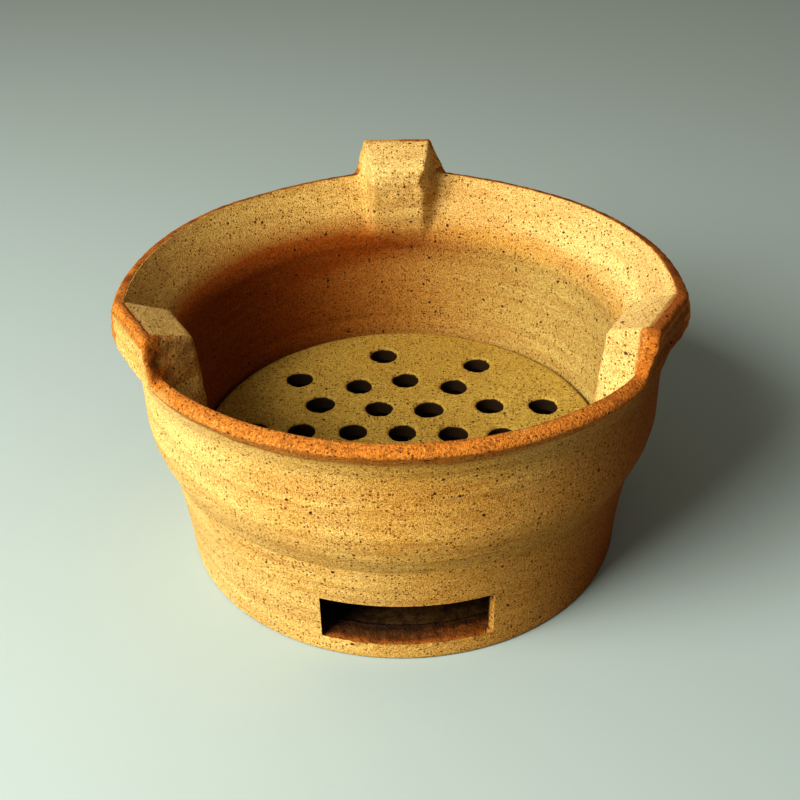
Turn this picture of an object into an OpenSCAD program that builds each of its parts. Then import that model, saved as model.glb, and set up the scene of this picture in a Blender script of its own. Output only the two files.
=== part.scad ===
// Round clay charcoal stove: an ash base with a draught slot, a flared fire bowl with three
// pot rests, and a loose pierced grate that lies on a ledge inside and lifts straight out.
// The origin is on the table, at the centre of the foot. The draught slot faces -Y.

/* [Pot] */
// Diameter over the lip of the rim
rim_d = 242; // [200:1:300]
// Height of the rim above the table
rim_h = 121.5; // [100:0.5:160]
// Diameter of the foot on the table
foot_d = 198; // [160:1:240]
// Height of the seam where the bowl is joined to the ash base
seam_h = 52; // [48:0.5:64]
// How far the lip overhangs the belly of the bowl
lip_overhang = 9; // [2:0.5:12]
// Height of the flared lip
lip_h = 20; // [8:0.5:25]
// How far the bowl swells out above the seam
waist_step = 7.5; // [0:0.5:12]
// Height over which the bowl swells out
waist_rise = 24; // [10:1:30]

/* [Walls] */
// Thickness of the floor
floor_t = 7; // [5:0.5:8]
// Wall thickness of the ash base, from the floor up to the seam
base_wall = 9.5; // [7:0.5:14]
// How much wider the bowl is inside at the throat, where the flare begins, than at the seam
throat_taper = 0.5; // [0:0.5:5]
// Width of the rounded top of the rim
rim_w = 5.5; // [4:0.5:8]
// Depth from the rim down to where the flare begins
flare_depth = 25; // [15:0.5:35]
// Radius of the soft edge below the flare
throat_edge_r = 7; // [2:0.5:10]

/* [Draught slot] */
// Width of the slot
slot_w = 69; // [40:1:90]
// Height of the slot
slot_h = 23; // [12:0.5:28]
// Step up from the floor to the sill
sill_step = 1.5; // [0:0.5:4]

/* [Grate] */
// Thickness of the grate
grate_t = 8; // [5:0.5:12]
// Gap all round between the grate and the wall
grate_gap = 1.2; // [0.5:0.1:4]
// Diameter of the air holes
hole_d = 13; // [8:0.5:18]
// Clay left between one ring of holes and the next
hole_web = 10; // [6:0.5:16]
// Distance from the edge of the grate to the centres of the outer ring of holes
hole_margin = 22; // [16:0.5:30]
// Turn of the hole pattern about the centre
hole_turn = -3; // [-30:1:30]
// Place of the first hole in the outer ring
outer_hole_turn = 17; // [0:1:40]
// How far the ledge reaches in under the grate
ledge_reach = 7; // [4:0.5:12]
// Thickness of the ledge at the wall
ledge_t = 4; // [3:0.5:6]

/* [Pot rests] */
// Height of the pot rests above the rim
rest_h = 18; // [10:0.5:30]
// Width of the flat top, along the rim
rest_w = 33; // [20:1:50]
// Width of the inner face, less than that of the top
rest_face_w = 26; // [15:1:33]
// Depth of the flat top, from outside to inside
rest_top_depth = 4; // [3:0.5:10]
// How far the outer face stands inside the lip at the top
rest_inset = 2; // [1:0.5:5]
// Drop of the shallow slope inside the flat top
rest_slope_drop = 7.5; // [3:0.5:15]
// How far the steep inner face leans back between its foot and the slope
rest_lean = 3; // [0:0.5:6]
// How far the foot of the inner face stands in from the throat
rest_foot_in = 1; // [0:0.5:4]
// Slope of the side faces
rest_draft = 7; // [0:1:12]

/* [Hidden] */
$fn = 96;

// Clay colours
POT_CLAY = "burlywood";
RAW_CLAY = "tan";
GRATE_CLAY = "darkkhaki";

// Radii of the pot, outside
foot_r = foot_d / 2;
rim_r = rim_d / 2;
belly_r = rim_r - lip_overhang;
seam_r = belly_r - waist_step;

// Outer radius of the ash base at height z: it widens faster towards the seam
function side_r(z) = foot_r + (seam_r - foot_r) * pow(z / seam_h, side_curve);
side_curve = 1.6;

// Radii of the pot, inside
function base_inner_r(z) = side_r(z) - base_wall;
throat_r = base_inner_r(seam_h) + throat_taper;
mouth_r = rim_r - rim_w;

// Heights of the flare and the lip
throat_h = rim_h - flare_depth;
lip_round = 3;
lip_edge_h = rim_h - lip_round;
lip_start_h = rim_h - lip_h;

// The ledge lies just above the slot, and the grate on the ledge
ledge_clear = 1;
sill_h = floor_t + sill_step;
ledge_low_h = sill_h + slot_h + ledge_clear;
seat_h = ledge_low_h + ledge_t;
ledge_edge_t = ledge_t / 2;

// The grate clears the wall at its seat, and on its way out the throat and the pot rests
rest_foot_r = throat_r - rest_foot_in;
grate_r = min(base_inner_r(seat_h), rest_foot_r) - grate_gap;
ledge_r = grate_r - ledge_reach;

// Air holes: as many full rings as fit, each with six holes more than the one inside it, and a
// sparse outer ring with its holes twice as far apart
hole_pitch = hole_d + hole_web;
outer_ring_r = grate_r - hole_margin;
least_web = 6;
full_rings = floor((outer_ring_r - hole_d - least_web) / hole_pitch);
outer_holes = floor(2 * PI * outer_ring_r / (2 * hole_pitch));

// Pot rests
rest_top_h = rim_h + rest_h;
rest_out_r = rim_r - rest_inset;
rest_in_r = rest_out_r - rest_top_depth;
rest_knee_r = rest_foot_r + rest_lean;
rest_knee_h = rest_top_h - rest_slope_drop;
rest_root = 1.5;
rest_side_turn = atan((rest_w - rest_face_w) / 2 / (rest_out_r - rest_knee_r));

// Small edges, and how far a hole's cutter reaches past the grate
foot_edge = 1.2;
floor_cove = 5;
grate_edge = 1;
past = 20;

// Steps along a curved stretch of an outline
CURVE_STEPS = 12;
CORNER_STEPS = 6;

// Height of the flare's surface at radius r
function flare_h(r) = throat_h + flare_depth * (r - throat_r) / (mouth_r - throat_r);

// Arc of radius r that rounds the corner b between a and c
function rounded_corner(a, b, c, r) =
    r == 0
        ? [[b.x, b.y]]
        : let (
            u = [a.x - b.x, a.y - b.y] / norm([a.x - b.x, a.y - b.y]),
            v = [c.x - b.x, c.y - b.y] / norm([c.x - b.x, c.y - b.y]),
            half = acos(u * v) / 2,
            centre = [b.x, b.y] + (u + v) / norm(u + v) * r / sin(half),
            from = [b.x, b.y] + u * r / tan(half) - centre,
            to = [b.x, b.y] + v * r / tan(half) - centre,
            start = atan2(from.y, from.x),
            turn = atan2(from.x * to.y - from.y * to.x, from * to)
        )
        [for (i = [0 : CORNER_STEPS])
            centre + r * [cos(start + turn * i / CORNER_STEPS), sin(start + turn * i / CORNER_STEPS)]];

// Outline through points [x, y, corner radius]
function rounded_outline(p) =
    [for (i = [0 : len(p) - 1])
        each rounded_corner(p[(i + len(p) - 1) % len(p)], p[i], p[(i + 1) % len(p)], p[i][2])];

// Half section of the ash base: foot, side, seam, inner wall and floor
function ash_base_outline() = rounded_outline([
    [0, 0, 0],
    [foot_r, 0, foot_edge],
    for (i = [1 : CURVE_STEPS])
        let (z = seam_h * i / CURVE_STEPS)
        [side_r(z), z, 0],
    for (z = [seam_h, seat_h, ledge_low_h])
        [base_inner_r(z), z, 0],
    [base_inner_r(floor_t), floor_t, floor_cove],
    [0, floor_t, 0]
]);

// Half section of the fire bowl: seam, swell, belly, lip, flare and inner wall
function fire_bowl_outline() = rounded_outline([
    for (i = [0 : CURVE_STEPS])
        let (t = i / CURVE_STEPS)
        [seam_r + waist_step * sin(90 * t), seam_h + waist_rise * t, 0],
    for (i = [0 : CURVE_STEPS])
        let (t = i / CURVE_STEPS)
        [belly_r + lip_overhang * t * t, lip_start_h + (lip_edge_h - lip_start_h) * t, 0],
    for (i = [1 : CORNER_STEPS])
        let (a = 90 * i / CORNER_STEPS)
        [mouth_r + rim_w * cos(a), lip_edge_h + lip_round * sin(a), 0],
    [throat_r, throat_h, throat_edge_r],
    [base_inner_r(seam_h), seam_h, 0]
]);

module ash_base() {
    color(POT_CLAY)
    difference() {
        rotate_extrude() polygon(ash_base_outline());
        translate([-slot_w / 2, -rim_r, sill_h])
            cube([slot_w, rim_r - ledge_r / 2, slot_h]);
    }
}

module fire_bowl() {
    color(POT_CLAY)
    rotate_extrude() polygon(fire_bowl_outline());
}

// Ring of clay pressed into the inner wall, flat on top and sloping below
module grate_ledge() {
    color(RAW_CLAY)
    rotate_extrude()
        polygon([
            [base_inner_r(ledge_low_h), ledge_low_h],
            [base_inner_r(seat_h), seat_h],
            [ledge_r, seat_h],
            [ledge_r, seat_h - ledge_edge_t]
        ]);
}

// Block seen from the side: flat top, shallow slope, steep inner face, and a root in the bowl
module pot_rest_side_view() {
    polygon([
        [rest_in_r, rest_top_h],
        [rim_r, rest_top_h],
        [rim_r, rim_h - rest_root],
        [mouth_r - lip_round, flare_h(mouth_r - lip_round) - rest_root],
        [throat_r + rest_root, throat_h],
        [throat_r + rest_root, throat_h - throat_edge_r],
        [rest_foot_r, throat_h],
        [rest_knee_r, rest_knee_h]
    ]);
}

// Everything on one side of a pot rest's side face
module beyond_side_face() {
    translate([rest_out_r, rest_w / 2, rest_top_h])
        rotate([0, 0, rest_side_turn])
            rotate([rest_draft, 0, 0])
                translate([-rim_r, 0, -rim_r])
                    cube(2 * rim_r);
}

// Pot rest standing on the rim and the flare, to be turned to its place about the pot's axis
module pot_rest() {
    color(POT_CLAY)
    difference() {
        intersection() {
            rotate([90, 0, 0])
                linear_extrude(height = rim_r, center = true)
                    pot_rest_side_view();
            cylinder(h = rest_top_h, r = rest_out_r);
        }
        beyond_side_face();
        mirror([0, 1, 0]) beyond_side_face();
        rotate_extrude() polygon(fire_bowl_outline());
    }
}

module pot_rest_back() {
    rotate(90) pot_rest();
}

module pot_rest_left() {
    rotate(210) pot_rest();
}

module pot_rest_right() {
    rotate(330) pot_rest();
}

module air_hole_ring(ring_r, holes, turn) {
    for (i = [0 : holes - 1])
        rotate(turn + 360 * i / holes)
            translate([ring_r, 0, seat_h - past])
                cylinder(h = grate_t + 2 * past, d = hole_d);
}

module fire_grate() {
    color(GRATE_CLAY)
    difference() {
        rotate_extrude()
            polygon([
                [0, seat_h],
                [grate_r - grate_edge, seat_h],
                [grate_r, seat_h + grate_edge],
                [grate_r, seat_h + grate_t - grate_edge],
                [grate_r - grate_edge, seat_h + grate_t],
                [0, seat_h + grate_t]
            ]);
        air_hole_ring(0, 1, 0);
        for (k = [1 : full_rings])
            air_hole_ring(k * hole_pitch, 6 * k, hole_turn);
        air_hole_ring(outer_ring_r, outer_holes, outer_hole_turn);
    }
}

ash_base();
fire_bowl();
grate_ledge();
pot_rest_back();
pot_rest_left();
pot_rest_right();
fire_grate();
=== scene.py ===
import math
import random

import bmesh
import bpy
import numpy as np
from mathutils import Matrix, Vector, noise


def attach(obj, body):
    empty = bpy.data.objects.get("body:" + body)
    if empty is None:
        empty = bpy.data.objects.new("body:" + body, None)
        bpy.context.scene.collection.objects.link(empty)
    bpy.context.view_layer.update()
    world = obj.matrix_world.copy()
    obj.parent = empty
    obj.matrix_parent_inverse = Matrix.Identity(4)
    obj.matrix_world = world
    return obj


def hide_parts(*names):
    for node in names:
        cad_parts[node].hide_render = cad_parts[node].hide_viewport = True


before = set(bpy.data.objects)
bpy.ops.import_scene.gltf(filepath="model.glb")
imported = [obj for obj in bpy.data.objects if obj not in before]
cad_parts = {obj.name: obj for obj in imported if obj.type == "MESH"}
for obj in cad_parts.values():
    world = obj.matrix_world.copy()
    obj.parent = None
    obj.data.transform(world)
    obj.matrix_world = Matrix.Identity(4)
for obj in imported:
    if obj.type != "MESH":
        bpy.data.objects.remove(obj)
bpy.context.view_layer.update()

# The pot is shaped in millimetres and brought to metres when a piece is finished.
MM = 0.001

# Pot, outside
FOOT_R = 99.0
SEAM_R = 104.5
BELLY_R = 112.0
RIM_R = 121.0
SEAM_H = 52.0
BELLY_H = 76.0
LIP_START_H = 99.5
LIP_CURVE = 1.5
LIP_EDGE_H = 118.5
RIM_H = 121.5
SIDE_CURVE = 1.6
FOOT_EDGE = 1.2

# Pot, inside
FLOOR_T = 7.0
COVE_R = 5.0
BASE_WALL = 9.5
THROAT_R = 95.5
THROAT_H = 96.5
THROAT_ROUND = 11.0
MOUTH_R = 115.5

# Draught slot
SLOT_HALF = 34.5
SILL_H = 8.5
SLOT_TOP_H = 31.5

# Ledge and grate
LEDGE_LOW_H = 32.5
SEAT_H = 36.5
LEDGE_R = 84.4
GRATE_T = 8.0
GRATE_R = 91.4
HOLE_R = 6.5
HOLE_PITCH = 23.0
OUTER_RING_R = 69.4
OUTER_HOLES = 9

# Pot rests
REST_TOP_H = 139.5
REST_OUT_R = 119.0
REST_IN_R = 115.0
REST_KNEE_R = 97.5
REST_KNEE_H = 132.0
REST_FOOT_R = 94.5
REST_FACE_HALF_W = 12.8
REST_FACE_DRAFT = 0.05
REST_TURNS = {"back": 90.0, "left": 210.0, "right": 330.0}
# Half the top's width and the slope of the outer end of the side face, on each side of a rest
REST_SIDES = {
    "back": {1: (17.6, 0.24), -1: (15.6, 0.40)},
    "left": {1: (16.5, 0.16), -1: (16.5, 0.20)},
    "right": {1: (16.5, 0.20), -1: (16.5, 0.16)},
}

# How far the lip is pressed in below each pot rest, and over what angle
LIP_PRESS = {"back": 1.5, "left": 1.2, "right": 4.4}
LIP_PRESS_TURN = 11
# How far the rim rises at the back rest, and over what angle
BACK_RISE = 2.6
BACK_RISE_TURN = 15
# How the thrown clay stands off the round: slow wobble, throwing rings, lumps and grit on the rim
WOBBLE = 0.4
RING_PITCH = 6.5
RING_HEIGHT = 0.13
LUMP = 0.12
SMALL_LUMP = 0.07
RIM_GRIT = 0.28
RIM_WAVE = 0.7
# Directions of the inner and outer sides of the pot darkened as painted shade, and of the outer side
# lightened as painted light
SHADED_INSIDE_TURN = 160
SHADED_OUTSIDE_TURN = 345
LIT_OUTSIDE_TURN = 205


def side_r(z):
    """Outer radius of the ash base at height z."""
    return FOOT_R + (SEAM_R - FOOT_R) * (z / SEAM_H) ** SIDE_CURVE


def inner_r(z):
    """Inner radius of the wall at height z."""
    return side_r(z) - BASE_WALL


def smooth(low, high, x):
    """0 below low, 1 above high, and a soft step in between."""
    t = min(1.0, max(0.0, (x - low) / (high - low)))
    return t * t * (3 - 2 * t)


def arc(centre, radius, start, end, steps):
    """Points on an arc, from the angle start to end in degrees."""
    turns = [math.radians(start + (end - start) * i / steps) for i in range(steps + 1)]
    return [(centre[0] + radius * math.cos(t), centre[1] + radius * math.sin(t)) for t in turns]


def between(a, b, steps):
    """Points from a to b, without b."""
    return [(a[0] + (b[0] - a[0]) * i / steps, a[1] + (b[1] - a[1]) * i / steps) for i in range(steps)]


def rounded(before, corner, after, radius, steps):
    """Arc that rounds a corner of an outline."""
    a, b, c = Vector(before), Vector(corner), Vector(after)
    u, v = (a - b).normalized(), (c - b).normalized()
    half = math.acos(u.dot(v)) / 2
    centre = b + (u + v).normalized() * radius / math.sin(half)
    start = b + u * radius / math.tan(half) - centre
    end = b + v * radius / math.tan(half) - centre
    turn = math.atan2(start.x * end.y - start.y * end.x, start.dot(end))
    first = math.degrees(math.atan2(start.y, start.x))
    return arc(centre, radius, first, first + math.degrees(turn), steps)


# ---------------------------------------------------------------- clay surface


def turn_from(x, y, degrees):
    """Angle from a direction, in degrees, between -180 and 180."""
    return (math.degrees(math.atan2(y, x)) - degrees + 180) % 360 - 180


def hand_made(p):
    """How far the thrown clay stands off the true round shape at p, in millimetres."""
    r = math.hypot(p.x, p.y)
    if r < 1:
        return Vector((0, 0, 0))
    out = Vector((p.x / r, p.y / r, 0))
    above_foot = smooth(0.0, 6.0, p.z)
    wobble = WOBBLE * noise.noise(Vector((out.x, out.y, p.z / 55)) * 1.3)
    spiral = p.z / RING_PITCH + math.atan2(p.y, p.x) / (2 * math.pi)
    ring_depth = 0.5 + noise.noise(Vector((out.x * 1.5, out.y * 1.5, p.z / 14 + 7)))
    rings = RING_HEIGHT * math.sin(2 * math.pi * spiral) * ring_depth
    lumps = LUMP * noise.noise(p / 11) + SMALL_LUMP * noise.noise(p / 3.5)
    rim = smooth(108, 119, p.z)
    grit = RIM_GRIT * rim * noise.noise(p / 2.6 + Vector((31, 0, 0)))
    rise = RIM_WAVE * noise.noise(Vector((out.x * 2.2, out.y * 2.2, 3.0)))
    rise += BACK_RISE * math.exp(-((turn_from(p.x, p.y, REST_TURNS["back"]) / BACK_RISE_TURN) ** 2))
    rise *= smooth(100, 121, p.z) * (1 - smooth(123, 134, p.z))
    press = smooth(104, 117, p.z) * (1 - smooth(121, 133, p.z)) * smooth(112.5, 117.5, r)
    press *= sum(
        LIP_PRESS[name] * math.exp(-((turn_from(p.x, p.y, turn) / LIP_PRESS_TURN) ** 2))
        for name, turn in REST_TURNS.items()
    )
    across = (wobble + rings + lumps + grit) * (0.35 + 0.65 * above_foot) - press
    return out * across + Vector((0, 0, rise + 0.5 * grit))


def rest_place(p, turn):
    """p in a pot rest's own axes: x out from the pot's axis, y along the rim."""
    return Matrix.Rotation(-math.radians(turn), 3, "Z") @ p


def rest_half_width(name, q):
    """Half the width of a pot rest on q's side of it, narrower inside and wider at its foot."""
    top_half, draft = REST_SIDES[name][1 if q.y > 0 else -1]
    outward = (q.x - REST_KNEE_R) / (REST_OUT_R - REST_KNEE_R)
    half = REST_FACE_HALF_W + (top_half - REST_FACE_HALF_W) * outward
    return half + (REST_TOP_H - q.z) * max(0.0, REST_FACE_DRAFT + (draft - REST_FACE_DRAFT) * outward)


def beside_rest(name, q):
    """How far q is out from the side face of a pot rest; less than 0 inside it."""
    return abs(q.y) - rest_half_width(name, q)


def inside_bowl(p):
    """True on the inner wall, the flare and everything above the rim."""
    if p.z > RIM_H:
        return True
    flare_slope = (MOUTH_R - THROAT_R) / (RIM_H - THROAT_H)
    limit = side_r(min(p.z, SEAM_H)) - 4.5 + max(0.0, p.z - THROAT_H) * flare_slope
    return math.hypot(p.x, p.y) < limit


def leftness(p):
    """1 on the inner side turned away from the key light, where painted shade goes, fading to 0 on the side
    across from it.
    """
    return 1 - smooth(25, 125, abs(turn_from(p.x, p.y, SHADED_INSIDE_TURN)))


def backness(p):
    """1 on the back half of the rim, 0 in front, where the fire licks out."""
    return 1 - smooth(85, 115, abs(turn_from(p.x, p.y, REST_TURNS["back"])))


def browning_and_shade(p):
    """Browning and painted shade: on the inner wall up to the throat, most on the left, the side turned away
    from the key light, where it is painted shade, with a band of painted shadow just under the throat; and
    outside on the right, the side turned away from the key light, also painted shade.
    """
    if inside_bowl(p) and p.z < 116:
        left = leftness(p)
        # Painted shadow: a dark band just under the throat, strongest on the left.
        throat_shadow = math.exp(-(((p.z - 95) / 9) ** 2)) * (0.12 + 0.5 * left)
        return min(1.1, (0.10 + 0.8 * left) * (1 - smooth(92, 110, p.z)) + throat_shadow + 0.16 * left)
    q = rest_place(p, REST_TURNS["left"])
    near_side = smooth(-2.5, -1.0, beside_rest("left", q)) if q.x > 60 and 0 < q.y < 24 and p.z > 116 else 0.0
    # Outside, the right side turned away from the key light is darkened: painted shade.
    outside = smooth(115, 117.5, math.hypot(p.x, p.y)) if inside_bowl(p) else 1.0
    return max(0.6 * near_side, outside * (1 - smooth(10, 70, abs(turn_from(p.x, p.y, SHADED_OUTSIDE_TURN)))))


def ashy_and_shade(p):
    """Greyer, olive clay on the inner wall below the throat, most on the side across from the left; on the
    left of the flare and over the left rest it is painted shade, on the sides turned away from the key light.
    """
    if not inside_bowl(p):
        return 0.0
    if p.z > RIM_H + 1:
        return 0.5 if turn_from(p.x, p.y, REST_TURNS["left"]) ** 2 < 400 else 0.15
    below = (1 - smooth(92, 104, p.z)) * smooth(SLOT_TOP_H, LEDGE_LOW_H + 1, p.z)
    return below * (0.85 - 0.6 * leftness(p)) + (1 - below) * 0.5 * leftness(p)


def painted_light(p):
    """Painted light: paler colour on the flare, which faces up to the key light, on the cut faces of the
    rests, and outside on the side of the pot facing the key light; the flare's shaded left gets less of it.
    """
    if not inside_bowl(p):
        return 0.6 * (1 - smooth(15, 70, abs(turn_from(p.x, p.y, LIT_OUTSIDE_TURN))))
    lit_share = 1 - 0.75 * leftness(p) if p.z < RIM_H + 1 else 1.0
    return lit_share * smooth(99, 106, p.z) * (1 - smooth(115.0, 116.5, math.hypot(p.x, p.y)))


def rusted(p):
    """How much the fire has turned the clay brown at p: on the rim and over the pot rests."""
    r = math.hypot(p.x, p.y)
    along = 1.0 + 0.7 * noise.noise(p / 24)
    start = 114.0 + 1.2 * backness(p)
    band = smooth(110.5, 116.5, p.z) * smooth(start, start + 1.6, r) * along
    for name, turn in REST_TURNS.items():
        q = rest_place(p, turn)
        if q.x < 60 or abs(q.y) > 40:
            continue
        beside = beside_rest(name, q)
        on_rest = 1 - smooth(-2.0, 4.0, beside)
        outside = smooth(117.0, 118.5, q.x)
        top_edge = smooth(132, 138, q.z) * smooth(114.6, 115.8, q.x)
        side_edge = smooth(-2.0, -0.8, beside) * smooth(109.0, 113.5, q.x) * smooth(119, 122, q.z)
        if name == "back":
            top_edge *= 0.35 + 0.65 * smooth(2, -4, q.y)
            side_edge *= 0.25 if q.y < 0 else 0.0
        if name == "left" and q.y > 0:
            side_edge = 0.45 * side_edge + 0.30 * smooth(-2.5, -1.0, beside) * smooth(114, 122, q.z)
        plain = on_rest * max(outside, smooth(122.5, 125, q.z))
        band = max(band * (1 - plain), on_rest * top_edge, side_edge * (1 - smooth(1.0, 4.0, beside)))
    return band


def crest_darkness(p):
    """The darker line along the inner crest of the rim, and over the tops of the rests."""
    r = math.hypot(p.x, p.y)
    low_rest = smooth(119.5, 121.0, p.z) * (1 - smooth(124, 127, p.z))
    crest = math.exp(-(((r - 115.2) / 0.8) ** 2)) * low_rest * (1 - backness(p))
    q = rest_place(p, REST_TURNS["back"])
    off_rest = smooth(-1.0, 2.0, beside_rest("back", q)) if q.x > 60 else 1.0
    back_edge = backness(p) * smooth(115.2, 116.6, r) * low_rest * off_rest
    crest = max(crest, 1.2 * back_edge * (0.8 + noise.noise(p / 7)))
    for name, turn in REST_TURNS.items():
        q = rest_place(p, turn)
        if q.x < 60 or abs(q.y) > 24 or q.z < 122:
            continue
        on_top = smooth(REST_TOP_H - 2.0, REST_TOP_H - 0.6, q.z)
        if name == "right":
            near_top = smooth(REST_TOP_H - 3.0, REST_TOP_H - 1.5, q.z)
            crest = max(crest, 0.8 * near_top * smooth(112.8, 114.2, q.x))
        if name == "left":
            crest = max(crest, on_top * math.exp(-(((q.x - 115.4) / 1.0) ** 2)))
            burn = ((q.x - 114.0) / 4.5) ** 2 + ((q.z - 126.0) / 6.5) ** 2 + ((q.y - 19.0) / 5) ** 2
            crest = max(crest, 1.1 * math.exp(-burn))
        if name == "back":
            crest = max(crest, 0.5 * on_top * smooth(115.5, 116.5, q.x) * smooth(3, -5, q.y))
    return crest


# ---------------------------------------------------------------- making pieces


def spun(outline, steps, closed=True):
    """Round clay form from the half section outline, as a mesh in millimetres."""
    bm = bmesh.new()
    verts = [bm.verts.new((r, 0, z)) for r, z in outline]
    pairs = list(zip(verts, verts[1:])) + ([(verts[-1], verts[0])] if closed else [])
    for a, b in pairs:
        bm.edges.new((a, b))
    bmesh.ops.spin(
        bm,
        geom=bm.verts[:] + bm.edges[:],
        cent=(0, 0, 0),
        axis=(0, 0, 1),
        angle=2 * math.pi,
        steps=steps,
        use_merge=True,
    )
    bmesh.ops.remove_doubles(bm, verts=bm.verts, dist=0.001)
    bmesh.ops.recalc_face_normals(bm, faces=bm.faces)
    return bm


def paint(bm, name, amount):
    """Stores amount(point) at every vertex, for the material to read."""
    layer = bm.verts.layers.float.new(name)
    for v in bm.verts:
        v[layer] = amount(v.co)


def paint_pot(bm):
    paint(bm, "rust", rusted)
    paint(bm, "crest", crest_darkness)
    # Painted shade with some browning, and painted light, are stored here along with the colour masks.
    paint(bm, "browning_and_shade", browning_and_shade)
    paint(bm, "painted_light", painted_light)
    paint(bm, "ashy_and_shade", ashy_and_shade)


def finished(bm, name, body, node, material, sharp=50):
    """Turns a mesh in millimetres into a piece in metres that rides on its body."""
    for f in bm.faces:
        f.smooth = True
    for e in bm.edges:
        if len(e.link_faces) == 2 and e.calc_face_angle(0) > math.radians(sharp):
            e.smooth = False
    bmesh.ops.scale(bm, vec=(MM, MM, MM), verts=bm.verts)
    mesh = bpy.data.meshes.new(name)
    bm.to_mesh(mesh)
    bm.free()
    mesh.materials.append(material)
    piece = bpy.data.objects.new(name, mesh)
    bpy.context.scene.collection.objects.link(piece)
    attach(piece, body)
    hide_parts(node)
    return piece


def remeshed(bm, voxel, cutter=None):
    """One even skin over everything in the mesh, less the cutter."""
    holder = bpy.data.objects.new("holder", bpy.data.meshes.new("holder"))
    bm.to_mesh(holder.data)
    bm.free()
    bpy.context.scene.collection.objects.link(holder)
    made = [holder]
    if cutter is not None:
        knife = bpy.data.objects.new("knife", bpy.data.meshes.new("knife"))
        cutter.to_mesh(knife.data)
        cutter.free()
        bpy.context.scene.collection.objects.link(knife)
        made.append(knife)
        cut = holder.modifiers.new("cut", "BOOLEAN")
        cut.operation = "DIFFERENCE"
        cut.solver = "EXACT"
        cut.object = knife
    skin = holder.modifiers.new("skin", "REMESH")
    skin.mode = "VOXEL"
    skin.voxel_size = voxel
    bpy.context.view_layer.update()
    shown = holder.evaluated_get(bpy.context.evaluated_depsgraph_get())
    result = bmesh.new()
    result.from_mesh(shown.data)
    for o in made:
        mesh = o.data
        bpy.data.objects.remove(o)
        bpy.data.meshes.remove(mesh)
    return result


def fill_corners(bm, rounds, where, soften):
    """Presses clay into inward corners where where() is 1, and rounds outward ones as far as soften()."""
    bm.verts.ensure_lookup_table()
    pairs = np.array([(e.verts[0].index, e.verts[1].index) for e in bm.edges])
    count = len(bm.verts)
    near = np.bincount(pairs.ravel(), minlength=count)[:, None]
    co = np.array([v.co for v in bm.verts])
    weight = np.array([where(v.co) for v in bm.verts])[:, None]
    inward = np.array([soften(v.co) for v in bm.verts])[:, None]
    for _ in range(rounds):
        total = np.zeros_like(co)
        np.add.at(total, pairs[:, 0], co[pairs[:, 1]])
        np.add.at(total, pairs[:, 1], co[pairs[:, 0]])
        for v, place in zip(bm.verts, co):
            v.co = place
        bm.normal_update()
        normal = np.array([v.normal for v in bm.verts])
        move = total / near - co
        outward = (move * normal).sum(1)[:, None]
        co = co + 0.5 * weight * np.where(outward > 0, move, inward * move)
    for v, place in zip(bm.verts, co):
        v.co = place
    bm.normal_update()


# ---------------------------------------------------------------- materials


def node(tree, kind, inputs=None, **settings):
    made = tree.nodes.new(kind)
    for name, value in settings.items():
        setattr(made, name, value)
    for socket, value in (inputs or {}).items():
        if isinstance(value, bpy.types.NodeSocket):
            tree.links.new(value, made.inputs[socket])
        else:
            made.inputs[socket].default_value = value
    return made


def sums(tree, operation, a, b=0.0, clamp=False):
    return node(tree, "ShaderNodeMath", {0: a, 1: b}, operation=operation, use_clamp=clamp).outputs[0]


def step(tree, value, low, high, start=0.0, end=1.0):
    """Soft step from start to end as value goes from low to high."""
    made = node(
        tree,
        "ShaderNodeMapRange",
        {"Value": value, "From Min": low, "From Max": high, "To Min": start, "To Max": end},
        interpolation_type="SMOOTHSTEP",
    )
    return made.outputs[0]


def blended(tree, amount, a, b, blend_type="MIX"):
    made = node(tree, "ShaderNodeMix", {0: amount, 6: a, 7: b}, data_type="RGBA", blend_type=blend_type)
    return made.outputs[2]


def grainy(tree, place, scale, detail=2.0, roughness=0.5):
    inputs = {"Vector": place, "Scale": scale, "Detail": detail, "Roughness": roughness}
    return node(tree, "ShaderNodeTexNoise", inputs).outputs[0]


def group(name, inputs, outputs):
    """A node group with its sockets; returns the tree, its input node and its output node."""
    tree = bpy.data.node_groups.new(name, "ShaderNodeTree")
    for socket, kind, value in inputs:
        made = tree.interface.new_socket(name=socket, in_out="INPUT", socket_type="NodeSocket" + kind)
        if value is not None:
            made.default_value = value
    for socket, kind in outputs:
        tree.interface.new_socket(name=socket, in_out="OUTPUT", socket_type="NodeSocket" + kind)
    return tree, tree.nodes.new("NodeGroupInput").outputs, tree.nodes.new("NodeGroupOutput").inputs


def placed(tree, made_group, inputs):
    made = node(tree, "ShaderNodeGroup", node_tree=made_group)
    for socket, value in inputs.items():
        if isinstance(value, bpy.types.NodeSocket):
            tree.links.new(value, made.inputs[socket])
        else:
            made.inputs[socket].default_value = value
    return made.outputs


def sand_grain_group():
    """Sandy body: light and dark grains of two sizes over a clay colour."""
    tree, given, out = group(
        "sand_grain",
        [
            ("Place", "Vector", None),
            ("Clay", "Color", None),
            ("Light", "Color", None),
            ("Dark", "Color", None),
            ("Scale", "Float", 800.0),
        ],
        [("Colour", "Color"), ("Height", "Float")],
    )
    fine = grainy(tree, given["Place"], given["Scale"], 2.0, 0.6)
    coarse = grainy(tree, given["Place"], sums(tree, "MULTIPLY", given["Scale"], 0.36), 2.0, 0.6)
    both = sums(tree, "ADD", sums(tree, "MULTIPLY", fine, 0.78), sums(tree, "MULTIPLY", coarse, 0.22))
    paler = blended(tree, 1.0, given["Clay"], given["Light"], "MULTIPLY")
    darker = blended(tree, 1.0, given["Clay"], given["Dark"], "MULTIPLY")
    colour = blended(tree, step(tree, both, 0.50, 0.62), given["Clay"], paler)
    colour = blended(tree, step(tree, both, 0.50, 0.38), colour, darker)
    tree.links.new(colour, out["Colour"])
    tree.links.new(both, out["Height"])
    return tree


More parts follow.
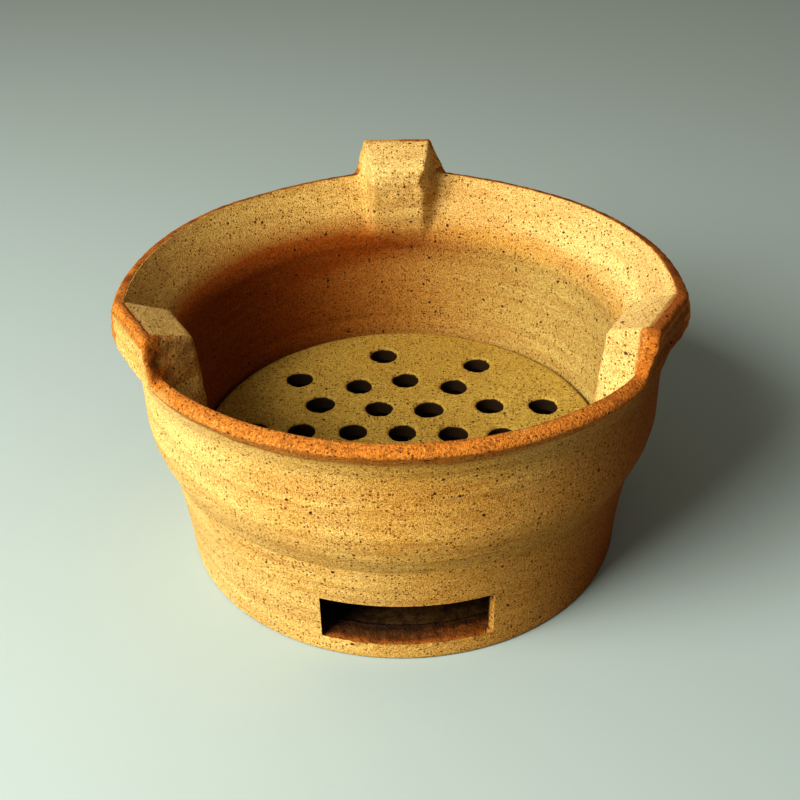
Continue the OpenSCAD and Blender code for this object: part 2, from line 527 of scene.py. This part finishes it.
def speck_group():
    """Scattered round specks, each of its own size, in a share of the cells."""
    tree, given, out = group(
        "specks",
        [
            ("Place", "Vector", None),
            ("Scale", "Float", 300.0),
            ("Share", "Float", 0.3),
            ("Size", "Float", 0.3),
        ],
        [("Speck", "Float")],
    )
    rough = grainy(tree, given["Place"], sums(tree, "MULTIPLY", given["Scale"], 2.5), 1.0)
    wander = node(tree, "ShaderNodeVectorMath", {0: given["Place"]}, operation="ADD")
    shift = node(tree, "ShaderNodeVectorMath", operation="SCALE")
    swirl = node(tree, "ShaderNodeTexNoise", {"Vector": given["Place"], "Scale": 1500.0})
    tree.links.new(swirl.outputs[1], shift.inputs[0])
    shift.inputs["Scale"].default_value = 0.0006
    tree.links.new(shift.outputs[0], wander.inputs[1])
    cells = node(tree, "ShaderNodeTexVoronoi", {"Vector": wander.outputs[0], "Scale": given["Scale"]})
    chance = node(tree, "ShaderNodeSeparateColor", {0: cells.outputs["Color"]}).outputs[0]
    bare = sums(tree, "SUBTRACT", 1.0, given["Share"])
    radius = sums(tree, "MULTIPLY", given["Size"], step(tree, chance, bare, 1.0))
    radius = sums(tree, "MULTIPLY", radius, sums(tree, "ADD", 0.6, rough))
    speck = step(tree, sums(tree, "SUBTRACT", radius, cells.outputs["Distance"]), 0.0, 0.06)
    tree.links.new(speck, out["Speck"])
    return tree


def throwing_group():
    """Faint level bands left by the potter's fingers as the wheel turns."""
    sockets = [("Band", "Float"), ("Line", "Float")]
    tree, given, out = group("throwing_bands", [("Place", "Vector", None)], sockets)
    stretch = {0: given["Place"], 1: (0.10, 0.10, 1.0)}
    flat = node(tree, "ShaderNodeVectorMath", stretch, operation="MULTIPLY").outputs[0]
    tree.links.new(grainy(tree, flat, 110.0, 4.0, 0.6), out["Band"])
    tree.links.new(grainy(tree, flat, 520.0, 2.0, 0.6), out["Line"])
    return tree


def fired_group():
    """Browning by the fire: an uneven, gritty layer of rust orange and dark brown."""
    tree, given, out = group(
        "fired_edge",
        [
            ("Place", "Vector", None),
            ("Clay", "Color", None),
            ("Rust", "Color", None),
            ("Brown", "Color", None),
            ("Amount", "Float", 0.0),
        ],
        [("Colour", "Color"), ("Mask", "Float"), ("Height", "Float")],
    )
    patchy = grainy(tree, given["Place"], 160.0, 5.0, 0.65)
    gritty = grainy(tree, given["Place"], 950.0, 2.0, 0.6)
    patches = sums(tree, "MULTIPLY", sums(tree, "SUBTRACT", patchy, 0.5), 0.9)
    uneven = sums(tree, "ADD", given["Amount"], patches)
    mask = sums(tree, "MULTIPLY", step(tree, uneven, 0.25, 0.75), step(tree, given["Amount"], 0.02, 0.25))
    rust = blended(tree, step(tree, gritty, 0.50, 0.34, 0.0, 0.8), given["Rust"], given["Brown"])
    rust = blended(tree, step(tree, patchy, 0.50, 0.38, 0.0, 0.45), rust, given["Brown"])
    rust = blended(tree, step(tree, gritty, 0.56, 0.68, 0.0, 0.65), rust, given["Clay"])
    tree.links.new(blended(tree, sums(tree, "MULTIPLY", mask, 0.9), given["Clay"], rust), out["Colour"])
    tree.links.new(mask, out["Mask"])
    tree.links.new(gritty, out["Height"])
    return tree


SAND, SPECKS, BANDS, FIRED = sand_grain_group(), speck_group(), throwing_group(), fired_group()


def attribute(tree, name):
    return node(tree, "ShaderNodeAttribute", attribute_name=name).outputs["Fac"]


def stoneware(
    name,
    clay,
    clay_far,
    light,
    dark,
    ash,
    grain_light,
    grain_dark,
    rust,
    brown,
    iron_colour,
    soot_and_shade,
    band_amount,
    grain_scale,
    bump,
):
    """Unglazed grogged stoneware: sand, iron specks, throwing bands and fired edges. Soot, painted shade and
    painted light are mixed into its colour from the vertex attributes.
    """
    material = bpy.data.materials.new(name)
    material.use_nodes = True
    tree = material.node_tree
    shader = tree.nodes["Principled BSDF"]
    place = node(tree, "ShaderNodeTexCoord").outputs["Object"]
    cloud = step(tree, grainy(tree, place, 14.0, 3.0, 0.55), 0.38, 0.62)
    colour = blended(tree, cloud, clay, clay_far)
    # Painted light: the flare, the rests' cut faces and the side facing the key light are lightened toward
    # the light colour.
    colour = blended(tree, sums(tree, "MULTIPLY", attribute(tree, "painted_light"), 0.62), colour, light)
    # Olive ash colour; on the shaded left of the flare and over the left rest this is painted shade.
    colour = blended(tree, attribute(tree, "ashy_and_shade"), colour, ash)
    # Painted shade, with some browning: the inner wall on the left, a band under the throat and the outer
    # right side are darkened toward the dark colour.
    colour = blended(tree, sums(tree, "MULTIPLY", attribute(tree, "browning_and_shade"), 0.92), colour, dark)
    bands = placed(tree, BANDS, {"Place": place})
    band = step(tree, bands["Band"], 0.36, 0.64)
    line = step(tree, bands["Line"], 0.35, 0.65)
    faint = step(tree, attribute(tree, "browning_and_shade"), 0.0, 0.6, band_amount, 0.15 * band_amount)
    colour = blended(tree, sums(tree, "MULTIPLY", band, faint), colour, dark)
    colour = blended(tree, sums(tree, "MULTIPLY", line, sums(tree, "MULTIPLY", faint, 0.4)), colour, light)
    sanded = {"Place": place, "Clay": colour, "Light": grain_light, "Dark": grain_dark, "Scale": grain_scale}
    sand = placed(tree, SAND, sanded)
    heated = {"Place": place, "Clay": sand["Colour"], "Rust": rust, "Brown": brown}
    fired = placed(tree, FIRED, {**heated, "Amount": attribute(tree, "rust")})
    colour = blended(tree, sums(tree, "MULTIPLY", attribute(tree, "crest"), 0.75), fired["Colour"], brown)
    iron = placed(tree, SPECKS, {"Place": place, "Scale": 720.0, "Share": 0.72, "Size": 0.36})["Speck"]
    pits = placed(tree, SPECKS, {"Place": place, "Scale": 330.0, "Share": 0.20, "Size": 0.23})["Speck"]
    colour = blended(tree, sums(tree, "MULTIPLY", iron, 0.85), colour, iron_colour)
    colour = blended(tree, sums(tree, "MULTIPLY", pits, 0.9), colour, soot_and_shade)
    # Soot and painted shade: the chamber, the slot's depths, the ledge and the grate holes are darkened
    # toward the soot colour.
    soot_and_shade_mask = attribute(tree, "soot_and_shade")
    smudge = sums(tree, "MULTIPLY", sums(tree, "SUBTRACT", grainy(tree, place, 260.0, 4.0, 0.6), 0.5), 0.5)
    soot_and_shade_mask = step(tree, sums(tree, "ADD", soot_and_shade_mask, smudge), 0.2, 0.9)
    colour = blended(tree, soot_and_shade_mask, colour, soot_and_shade)
    tree.links.new(colour, shader.inputs["Base Color"])
    rough = step(tree, sand["Height"], 0.3, 0.7, 0.82, 0.97)
    tree.links.new(rough, shader.inputs["Roughness"])
    shader.inputs["Specular IOR Level"].default_value = 0.25
    height = sums(tree, "ADD", sand["Height"], sums(tree, "MULTIPLY", line, 0.12 * band_amount))
    grit = sums(tree, "MULTIPLY", sums(tree, "MULTIPLY", fired["Height"], fired["Mask"]), 1.3)
    height = sums(tree, "ADD", height, grit)
    height = sums(tree, "SUBTRACT", height, sums(tree, "MULTIPLY", pits, 0.8))
    bumped = node(tree, "ShaderNodeBump", {"Height": height, "Strength": 1.0, "Distance": bump})
    tree.links.new(bumped.outputs[0], shader.inputs["Normal"])
    return material


# In both clays the light colour also serves as painted light, the dark and ash colours also as painted shade,
# and the soot colour as soot and painted shade.
POT_CLAY = stoneware(
    "pot_clay",
    clay=(0.66, 0.42, 0.120, 1),
    clay_far=(0.62, 0.35, 0.075, 1),
    light=(0.80, 0.62, 0.26, 1),
    dark=(0.25, 0.070, 0.003, 1),
    ash=(0.46, 0.37, 0.12, 1),
    grain_light=(1.30, 1.40, 1.90, 1),
    grain_dark=(0.50, 0.38, 0.20, 1),
    rust=(0.50, 0.185, 0.026, 1),
    brown=(0.20, 0.062, 0.009, 1),
    iron_colour=(0.12, 0.045, 0.010, 1),
    soot_and_shade=(0.040, 0.019, 0.008, 1),
    band_amount=0.30,
    grain_scale=2300.0,
    bump=0.0007,
)
GRATE_CLAY = stoneware(
    "grate_clay",
    clay=(0.45, 0.32, 0.078, 1),
    clay_far=(0.41, 0.28, 0.062, 1),
    light=(0.60, 0.46, 0.15, 1),
    dark=(0.27, 0.165, 0.030, 1),
    ash=(0.40, 0.34, 0.12, 1),
    grain_light=(1.30, 1.36, 1.70, 1),
    grain_dark=(0.50, 0.42, 0.28, 1),
    rust=(0.30, 0.12, 0.028, 1),
    brown=(0.09, 0.040, 0.012, 1),
    iron_colour=(0.08, 0.036, 0.010, 1),
    soot_and_shade=(0.035, 0.019, 0.007, 1),
    band_amount=0.05,
    grain_scale=2100.0,
    bump=0.0005,
)

# ---------------------------------------------------------------- fire bowl

COLUMNS = 480
LIP_STEPS = 14


def throat_arc(steps):
    return rounded((MOUTH_R, RIM_H), (THROAT_R, THROAT_H), (inner_r(SEAM_H), SEAM_H), THROAT_ROUND, steps)


def rim_outline():
    """Lip, rounded rim top and flare, from the belly up and over to the throat."""
    lip = []
    for i in range(LIP_STEPS):
        up = i / LIP_STEPS
        out = (RIM_R - BELLY_R) * up**LIP_CURVE
        lip.append((BELLY_R + out, LIP_START_H + (LIP_EDGE_H - LIP_START_H) * i / LIP_STEPS))
    top = [
        (MOUTH_R + (RIM_R - MOUTH_R) * x, LIP_EDGE_H + (RIM_H - LIP_EDGE_H) * z)
        for x, z in arc((0, 0), 1, 0, 90, 9)
    ]
    edge = throat_arc(8)
    return lip + top[:-1] + between(top[-1], edge[0], 28) + edge


def bowl_outline():
    swell = [
        (SEAM_R + (BELLY_R - SEAM_R) * math.sin(math.pi / 2 * i / 20), SEAM_H + (BELLY_H - SEAM_H) * i / 20)
        for i in range(20)
    ]
    rim = rim_outline()
    wall = between(rim[-1], (inner_r(SEAM_H), SEAM_H), 32)[1:]
    foot = between((inner_r(SEAM_H), SEAM_H), swell[0], 8)
    return swell + between((BELLY_R, BELLY_H), rim[0], 24) + rim + wall + foot


def roughen(bm):
    for v in bm.verts:
        v.co += hand_made(v.co)


bowl = spun(bowl_outline(), COLUMNS)
paint_pot(bowl)
roughen(bowl)
finished(bowl, "fire_bowl_clay", "pot", "fire_bowl", POT_CLAY)

# ---------------------------------------------------------------- ash base


def base_outline():
    """Foot, side, seam, inner wall with a row at the slot's top and sill, cove and floor."""
    foot = arc((FOOT_R - FOOT_EDGE, FOOT_EDGE), FOOT_EDGE, -90, 0, 3)
    side = []
    for low, high, steps in ((FOOT_EDGE, SILL_H, 7), (SILL_H, SLOT_TOP_H, 18), (SLOT_TOP_H, SEAM_H, 20)):
        heights = [low + (high - low) * i / steps for i in range(steps)]
        side += [(side_r(z), z) for z in heights]
    top = between((side_r(SEAM_H), SEAM_H), (inner_r(SEAM_H), SEAM_H), 8)
    cove = (inner_r(FLOOR_T) - COVE_R, FLOOR_T + COVE_R)
    sill_turn = math.degrees(math.asin((SILL_H - cove[1]) / COVE_R))
    wall = between((inner_r(SEAM_H), SEAM_H), (inner_r(SLOT_TOP_H), SLOT_TOP_H), 14)
    wall += between((inner_r(SLOT_TOP_H), SLOT_TOP_H), (cove[0] + COVE_R, cove[1]), 14)
    wall += arc(cove, COVE_R, 0, sill_turn, 4)[:-1] + arc(cove, COVE_R, sill_turn, -90, 5)[:-1]
    floor = between((cove[0], FLOOR_T), (0, FLOOR_T), 24) + [(0, FLOOR_T), (0, 0)]
    under = between((0, 0), foot[0], 20)[1:]
    return foot[:-1] + side + top + wall + floor + under


SLOT_TURN = -90
BASE_COLUMNS = 360
# How much closer the columns stand at the slot than across from it
CROWDING = 0.5
CHAMFER = 2.0
CHAMFER_DEPTH = 2.6
LEFT_IN = 0.5


def slot_half_width(depth, right):
    """Half the slot's width at a depth into the wall: the left side a little in, the right corner pared."""
    if not right:
        return SLOT_HALF - LEFT_IN * (1 - smooth(2, 7, depth))
    return SLOT_HALF + CHAMFER * (1 - smooth(0, CHAMFER_DEPTH, depth))


base = spun(base_outline(), BASE_COLUMNS, closed=False)
slot_faces = []
base_u = {v: math.radians(turn_from(v.co.x, v.co.y, SLOT_TURN)) for v in base.verts}
EDGE_STEP = 2 * math.pi / BASE_COLUMNS
edge_angle = math.asin(SLOT_HALF / side_r(SILL_H))
u = edge_angle
for _ in range(30):
    u -= (u - CROWDING * math.sin(u) - edge_angle) / (1 - CROWDING * math.cos(u))
EDGE_U = round(u / EDGE_STEP) * EDGE_STEP
EDGE_NOMINAL = EDGE_U - CROWDING * math.sin(EDGE_U)
for f in base.faces:
    c = f.calc_center_median()
    at_slot = abs(math.radians(turn_from(c.x, c.y, SLOT_TURN))) < EDGE_U
    if at_slot and math.hypot(c.x, c.y) > 80 and SILL_H < c.z < SLOT_TOP_H:
        slot_faces.append(f)
for v in base.verts:
    r = math.hypot(v.co.x, v.co.y)
    if r < 1:
        continue
    a = base_u[v] - CROWDING * math.sin(base_u[v])
    if r > 60:
        depth = max(0.0, side_r(v.co.z) - r)
        half = slot_half_width(depth, a > 0)
        shift = math.asin(half / max(r, 86.0)) - EDGE_NOMINAL
        near = abs(a) / EDGE_NOMINAL
        pull = smooth(0.0, 1.0, near) if near < 1 else 1 - smooth(1.0, 2.2, near)
        beyond = smooth(0.0, SILL_H, v.co.z) * (1 - smooth(SLOT_TOP_H, SLOT_TOP_H + 9, v.co.z))
        level = beyond if r > 95 else 1.0
        a += (shift if a > 0 else -shift) * pull * smooth(60, 86, r) * level
    turn = a - math.pi / 2
    v.co.x, v.co.y = r * math.cos(turn), r * math.sin(turn)
bmesh.ops.delete(base, geom=slot_faces, context="FACES")
edges = [e for e in base.edges if e.is_boundary and math.hypot(e.verts[0].co.x, e.verts[0].co.y) > 60]
tunnel = bmesh.ops.bridge_loops(base, edges=edges)
across = [
    e
    for f in tunnel["faces"]
    for e in f.edges
    if abs(math.hypot(e.verts[0].co.x, e.verts[0].co.y) - math.hypot(e.verts[1].co.x, e.verts[1].co.y)) > 4
]
bmesh.ops.subdivide_edges(base, edges=list(set(across)), cuts=9, use_grid_fill=True)
bmesh.ops.recalc_face_normals(base, faces=base.faces)
base.normal_update()


def in_slot(p, reach=0.6):
    across = p.y < 0 and abs(p.x) < SLOT_HALF + CHAMFER + reach
    upright = SILL_H - reach < p.z < SLOT_TOP_H + reach
    return across and upright and math.hypot(p.x, p.y) > 84


def chamber_soot_and_shade(p):
    """Soot and painted shade: the chamber is darkened all over, most on the left, and the sill and jambs
    darken further into the slot.
    """
    r = math.hypot(p.x, p.y)
    if p.z > SEAT_H + 1 or r > side_r(p.z) - 0.4 or p.z < FLOOR_T - 3:
        return 0.0
    if in_slot(p):
        depth = side_r(p.z) - r
        jamb = smooth(SILL_H + 1, SILL_H + 4, p.z)
        left = 1 - smooth(-10, 25, p.x)
        return (0.52 + 0.25 * jamb + 0.12 * left) * smooth(0.6, 3.0, depth) + 0.2 * smooth(6.0, 9.5, depth)
    return 0.72 + 0.2 * (1 - smooth(-45, 10, p.x))


def slot_rust(p):
    """How much the slot's sill and jambs are turned brown at p, behind their outer edge."""
    r = math.hypot(p.x, p.y)
    if not in_slot(p, 1.2):
        return 0.0
    depth = side_r(p.z) - r
    pared = CHAMFER_DEPTH if p.x > SLOT_HALF - 0.5 else 0.0
    return smooth(0.3 + pared, 1.6 + pared, depth)


paint(base, "rust", slot_rust)
# Soot and painted shade in the chamber and slot.
paint(base, "soot_and_shade", chamber_soot_and_shade)
paint(base, "ashy_and_shade", ashy_and_shade)
# Painted light on the side of the base facing the key light.
paint(base, "painted_light", lambda p: 0.0 if inside_bowl(p) else painted_light(p) * (1 - slot_rust(p)))
# Painted shade inside on the left and outside on the right, with browning on the sill and jambs.
paint(base, "browning_and_shade", lambda p: max(browning_and_shade(p), 0.8 * slot_rust(p)))
paint(base, "crest", lambda p: 0.75 * slot_rust(p) * (1 - smooth(SILL_H + 1, SILL_H + 4, p.z)))
for v in base.verts:
    p = v.co.copy()
    move = hand_made(p)
    r = math.hypot(p.x, p.y)
    if in_slot(p, 0.3):
        depth = side_r(p.z) - r
        if depth > 0.3:
            half = slot_half_width(depth, p.x > 0)
            on_sill = p.z < SILL_H + 0.3
            torn = noise.noise(p / 1.8) * 0.7 + noise.noise(p / 5.0) * 0.7
            if on_sill:
                move += Vector((0, 0, torn - 1.3 * (1 - smooth(0.0, 3.0, depth))))
            elif p.z < SLOT_TOP_H - 0.3:
                if p.x > 0:
                    v.co.x = half
                move += Vector((0.25 * torn, 0, 0))
    if r > side_r(p.z) - 0.5 and abs(p.x) < SLOT_HALF and 4 < p.z < SILL_H + 0.2:
        frayed = smooth(4.5, SILL_H, p.z)
        move += Vector((p.x / r, p.y / r, 0)) * frayed * (0.5 * noise.noise(p / 2.4) - 0.25)
    v.co += move
for v in base.verts:
    v.co.z = max(v.co.z, 0.0)
finished(base, "ash_base_clay", "pot", "ash_base", POT_CLAY, sharp=40)

# ---------------------------------------------------------------- ledge

# How far the ledge runs into the wall
LEDGE_IN = 0.6
ledge_outline = (
    between((inner_r(LEDGE_LOW_H) + LEDGE_IN, LEDGE_LOW_H), (LEDGE_R + 1, SEAT_H - 3), 6)
    + arc((LEDGE_R + 1.2, SEAT_H - 1.2), 1.2, 180, 90, 4)
    + between((LEDGE_R + 1.2, SEAT_H), (inner_r(SEAT_H) + LEDGE_IN, SEAT_H), 6)[1:]
    + [(inner_r(SEAT_H) + LEDGE_IN, SEAT_H)]
)
ledge = spun(ledge_outline, 240)
# The whole ledge under the grate is darkened: soot and painted shade.
paint(ledge, "soot_and_shade", lambda p: 0.55)
for v in ledge.verts:
    inward = 1 - smooth(LEDGE_R, LEDGE_R + 4, math.hypot(v.co.x, v.co.y))
    v.co += Vector((v.co.x, v.co.y, 0)).normalized() * inward * noise.noise(v.co / 8)
finished(ledge, "grate_ledge_clay", "pot", "grate_ledge", POT_CLAY)

# ---------------------------------------------------------------- pot rests

VOXEL = 0.85
REST_EDGE = {"back": 0.9, "left": 1.8, "right": 1.2}
SECTOR = 18.0
# How far the pressed clay spreads beside each rest, and how often it is smoothed in
FILLET_REACH = {"back": 5.0, "left": 4.0, "right": 4.0}
FILLET_ROUNDS = {"back": 50, "left": 30, "right": 30}


def rest_block(name, edge):
    """Knife-cut block: flat top, shallow slope, steep inner face, and a root in the wall."""
    bm = bmesh.new()
    side_view = [
        (REST_IN_R, REST_TOP_H),
        (REST_OUT_R, REST_TOP_H),
        (REST_OUT_R + 0.6, RIM_H),
        (REST_OUT_R, LIP_EDGE_H),
        (108, 109),
        (THROAT_R + 3, THROAT_H),
        (THROAT_R + 1.5, THROAT_H - THROAT_ROUND),
        (REST_FOOT_R, THROAT_H),
        (REST_KNEE_R, REST_KNEE_H),
    ]
    profile = bm.faces.new([bm.verts.new((x, -1, z)) for x, z in side_view])
    pushed = bmesh.ops.extrude_face_region(bm, geom=[profile])
    far = [g for g in pushed["geom"] if isinstance(g, bmesh.types.BMVert)]
    bmesh.ops.translate(bm, vec=(0, 2, 0), verts=far)
    for v in bm.verts:
        v.co.y *= rest_half_width(name, v.co)
    bmesh.ops.recalc_face_normals(bm, faces=bm.faces)
    cut = [e for e in bm.edges if max(v.co.z for v in e.verts) > RIM_H + 2]
    bmesh.ops.bevel(bm, geom=cut, offset=edge, segments=3, profile=0.5, affect="EDGES", material=-1)
    return bm


def wall_sector(bm):
    """The piece of rim and flare that the rest is pressed on to."""
    outline = [(BELLY_R, 98)] + rim_outline() + [(95.3, 80)]
    verts = [bm.verts.new((r, 0, z)) for r, z in outline]
    face = bm.faces.new(verts)
    bmesh.ops.rotate(bm, verts=verts, cent=(0, 0, 0), matrix=Matrix.Rotation(math.radians(-SECTOR), 3, "Z"))
    bmesh.ops.spin(
        bm,
        geom=[face] + list(face.edges) + verts,
        cent=(0, 0, 0),
        axis=(0, 0, 1),
        angle=math.radians(2 * SECTOR),
        steps=48,
    )


def rest_marks(name, q):
    """Dents and tool marks on one rest, in its own axes, as a move in millimetres."""
    move = Vector((0, 0, 0))
    above = smooth(122, 126, q.z)
    beside = -beside_rest(name, q)
    if name == "back" and q.y < 0 and beside < 3.5:
        scallop = math.exp(-(((q.z - 125) / 6.5) ** 2)) * 2.4 + math.exp(-(((q.z - 112) / 5.0) ** 2)) * 1.2
        rough = 0.5 * noise.noise(q / 4.5)
        move.y += (scallop + rough) * smooth(4.5, 0.5, beside) * (1 - smooth(113, 119, q.x))
    if name == "left" and q.y > 0 and beside < 3:
        pit = math.exp(-(((q.x - 113.5) / 3.4) ** 2 + ((q.z - 127.5) / 4.0) ** 2))
        move.y -= (1.6 * pit + 0.4 * noise.noise(q / 3.5)) * smooth(3, 0.5, beside) * above
    return move + Vector((0.25 * noise.noise(q / 5), 0.3 * noise.noise(q / 6 + Vector((9, 0, 0))), 0.0))


def make_rest(name):
    turn = REST_TURNS[name]
    bm = rest_block(name, REST_EDGE[name])
    wall_sector(bm)
    bmesh.ops.recalc_face_normals(bm, faces=bm.faces)
    bm = remeshed(bm, VOXEL)
    reach = FILLET_REACH[name]

    def pressed(p):
        return (1 - smooth(reach, reach + 5, beside_rest(name, p))) * (1 - smooth(124, 131, p.z))

    def softened(p):
        return 0.06 + (0.5 * (1 - smooth(101, 113, p.z)) if p.x < 112 else 0.0)

    fill_corners(bm, FILLET_ROUNDS[name], pressed, softened)
    for v in bm.verts:
        p = v.co
        beside = beside_rest(name, p)
        sunk = max(
            smooth(reach, reach + 6, beside),
            1 - smooth(85, 93, p.z) if p.x < 100 else 0.0,
            1 - smooth(108, 115, p.z) if p.x > 110 else 0.0,
        )
        v.co = p + v.normal * (0.15 - 1.1 * sunk) + rest_marks(name, p) * (1 - sunk)
    bmesh.ops.rotate(bm, verts=bm.verts, cent=(0, 0, 0), matrix=Matrix.Rotation(math.radians(turn), 3, "Z"))
    paint_pot(bm)
    roughen(bm)
    finished(bm, "pot_rest_" + name + "_clay", "pot", "pot_rest_" + name, POT_CLAY, sharp=70)


for rest in REST_TURNS:
    make_rest(rest)

# ---------------------------------------------------------------- grate

GRATE_VOXEL = 0.95
GRATE_EDGE = 1.0
HOLE_TURN = -3.0
OUTER_TURN = 17.0
# How far a hand-punched hole may miss its place
HAND_SLIP = 0.7
random.seed(11)


def hole_middles():
    """Centres of the hand-punched holes: two full rings round the middle one, and a sparse outer ring."""
    places = [(0.0, 0.0)]
    for k in (1, 2):
        places += [(k * HOLE_PITCH, HOLE_TURN + 60 / k * i) for i in range(6 * k)]
    places += [(OUTER_RING_R, OUTER_TURN + 360 / OUTER_HOLES * i) for i in range(OUTER_HOLES)]
    middles = []
    for r, turn in places:
        x = r * math.cos(math.radians(turn)) + random.uniform(-HAND_SLIP, HAND_SLIP)
        y = r * math.sin(math.radians(turn)) + random.uniform(-HAND_SLIP, HAND_SLIP)
        middles.append(Vector((x, y, SEAT_H + GRATE_T / 2)))
    return middles


def hole_cutters(middles):
    """Slightly uneven punches, one for each air hole."""
    bm = bmesh.new()
    for middle in middles:
        size = HOLE_R * random.uniform(0.96, 1.04)
        punch = bmesh.ops.create_cone(
            bm,
            cap_ends=True,
            segments=40,
            radius1=size,
            radius2=size * 1.02,
            depth=GRATE_T * 2,
            matrix=Matrix.Translation(middle),
        )
        for v in punch["verts"]:
            away = Vector((v.co.x - middle.x, v.co.y - middle.y, 0))
            v.co += away * 0.09 * noise.noise(away * 0.16 + middle)
    return bm


middles = hole_middles()
grate = spun(
    [
        (0, SEAT_H),
        (GRATE_R - GRATE_EDGE, SEAT_H),
        (GRATE_R, SEAT_H + GRATE_EDGE),
        (GRATE_R, SEAT_H + GRATE_T - GRATE_EDGE),
        (GRATE_R - GRATE_EDGE, SEAT_H + GRATE_T),
        (0, SEAT_H + GRATE_T),
    ],
    180,
    closed=False,
)
grate = remeshed(grate, GRATE_VOXEL, hole_cutters(middles))
bmesh.ops.smooth_vert(grate, verts=grate.verts, factor=0.5, use_axis_x=True, use_axis_y=True, use_axis_z=True)
GRATE_TOP = SEAT_H + GRATE_T


def hole_gap(p):
    """Distance from p to the edge of the nearest hole, seen from above."""
    return min((p - c).to_2d().length for c in middles) - HOLE_R


# Soot and painted shade: the hole walls and the grate's underside are darkened, most deep in the holes.
def hole_soot_and_shade(p):
    inside = hole_gap(p) < 0.7 or p.z < SEAT_H + 1
    return 1.0 - smooth(GRATE_TOP - 1.6, GRATE_TOP - 0.5, p.z) if inside else 0.0


paint(grate, "soot_and_shade", hole_soot_and_shade)
for v in grate.verts:
    p = v.co.copy()
    if p.z > GRATE_TOP - 2:
        burr = 1 - smooth(0.6, 2.2, abs(hole_gap(p) - 0.6))
        v.co.z += 0.14 * noise.noise(p / 14) + burr * max(0.0, noise.noise(p / 2.6)) * 0.8
        v.co.z += 0.10 * noise.noise(p / 3.5)
    elif p.z > SEAT_H + 1:
        out = Vector((p.x, p.y, 0)).normalized()
        v.co += out * 0.25 * noise.noise(p / 6)
finished(grate, "fire_grate_clay", "grate", "fire_grate", GRATE_CLAY, sharp=60)

# ---------------------------------------------------------------- stage, camera and light

floor_mesh = bmesh.new()
bmesh.ops.create_grid(floor_mesh, x_segments=1, y_segments=1, size=6)
floor_data = bpy.data.meshes.new("floor")
floor_mesh.to_mesh(floor_data)
floor_mesh.free()
floor = bpy.data.objects.new("floor", floor_data)
bpy.context.scene.collection.objects.link(floor)
paper = bpy.data.materials.new("floor_paper")
paper.use_nodes = True
paper_shader = paper.node_tree.nodes["Principled BSDF"]
paper_shader.inputs["Base Color"].default_value = (0.35, 0.42, 0.415, 1)
paper_shader.inputs["Roughness"].default_value = 0.95
floor_data.materials.append(paper)

camera = bpy.data.objects.new("camera", bpy.data.cameras.new("camera"))
camera.data.lens = 54
camera.data.sensor_width = 36
bpy.context.scene.collection.objects.link(camera)
CAMERA_PLACE = (0.00141, -0.45112, 0.36252)
yaw, pitch, roll = (math.radians(a) for a in (-0.286, 33.63, -0.952))
camera.matrix_world = (
    Matrix.Translation(CAMERA_PLACE)
    @ Matrix.Rotation(-yaw, 4, "Z")
    @ Matrix.Rotation(math.pi / 2 - pitch, 4, "X")
    @ Matrix.Rotation(roll, 4, "Z")
)
bpy.context.scene.camera = camera


def area_light(name, place, watts, size, colour):
    light = bpy.data.lights.new(name, "AREA")
    light.energy = watts
    light.size = size
    light.color = colour
    made = bpy.data.objects.new(name, light)
    bpy.context.scene.collection.objects.link(made)
    made.location = place
    made.rotation_euler = (Vector((0, 0, 0.06)) - Vector(place)).to_track_quat("-Z", "Y").to_euler()


area_light("key", (-0.79, -0.665, 0.87), 27.0, 0.75, (1.0, 0.97, 0.90))

world = bpy.data.worlds.new("studio")
world.use_nodes = True
world.node_tree.nodes["Background"].inputs[0].default_value = (1.0, 0.88, 0.74, 1)
world.node_tree.nodes["Background"].inputs[1].default_value = 0.25
bpy.context.scene.world = world
bpy.context.scene.view_settings.view_transform = "Standard"
bpy.context.scene.view_settings.look = "High Contrast"
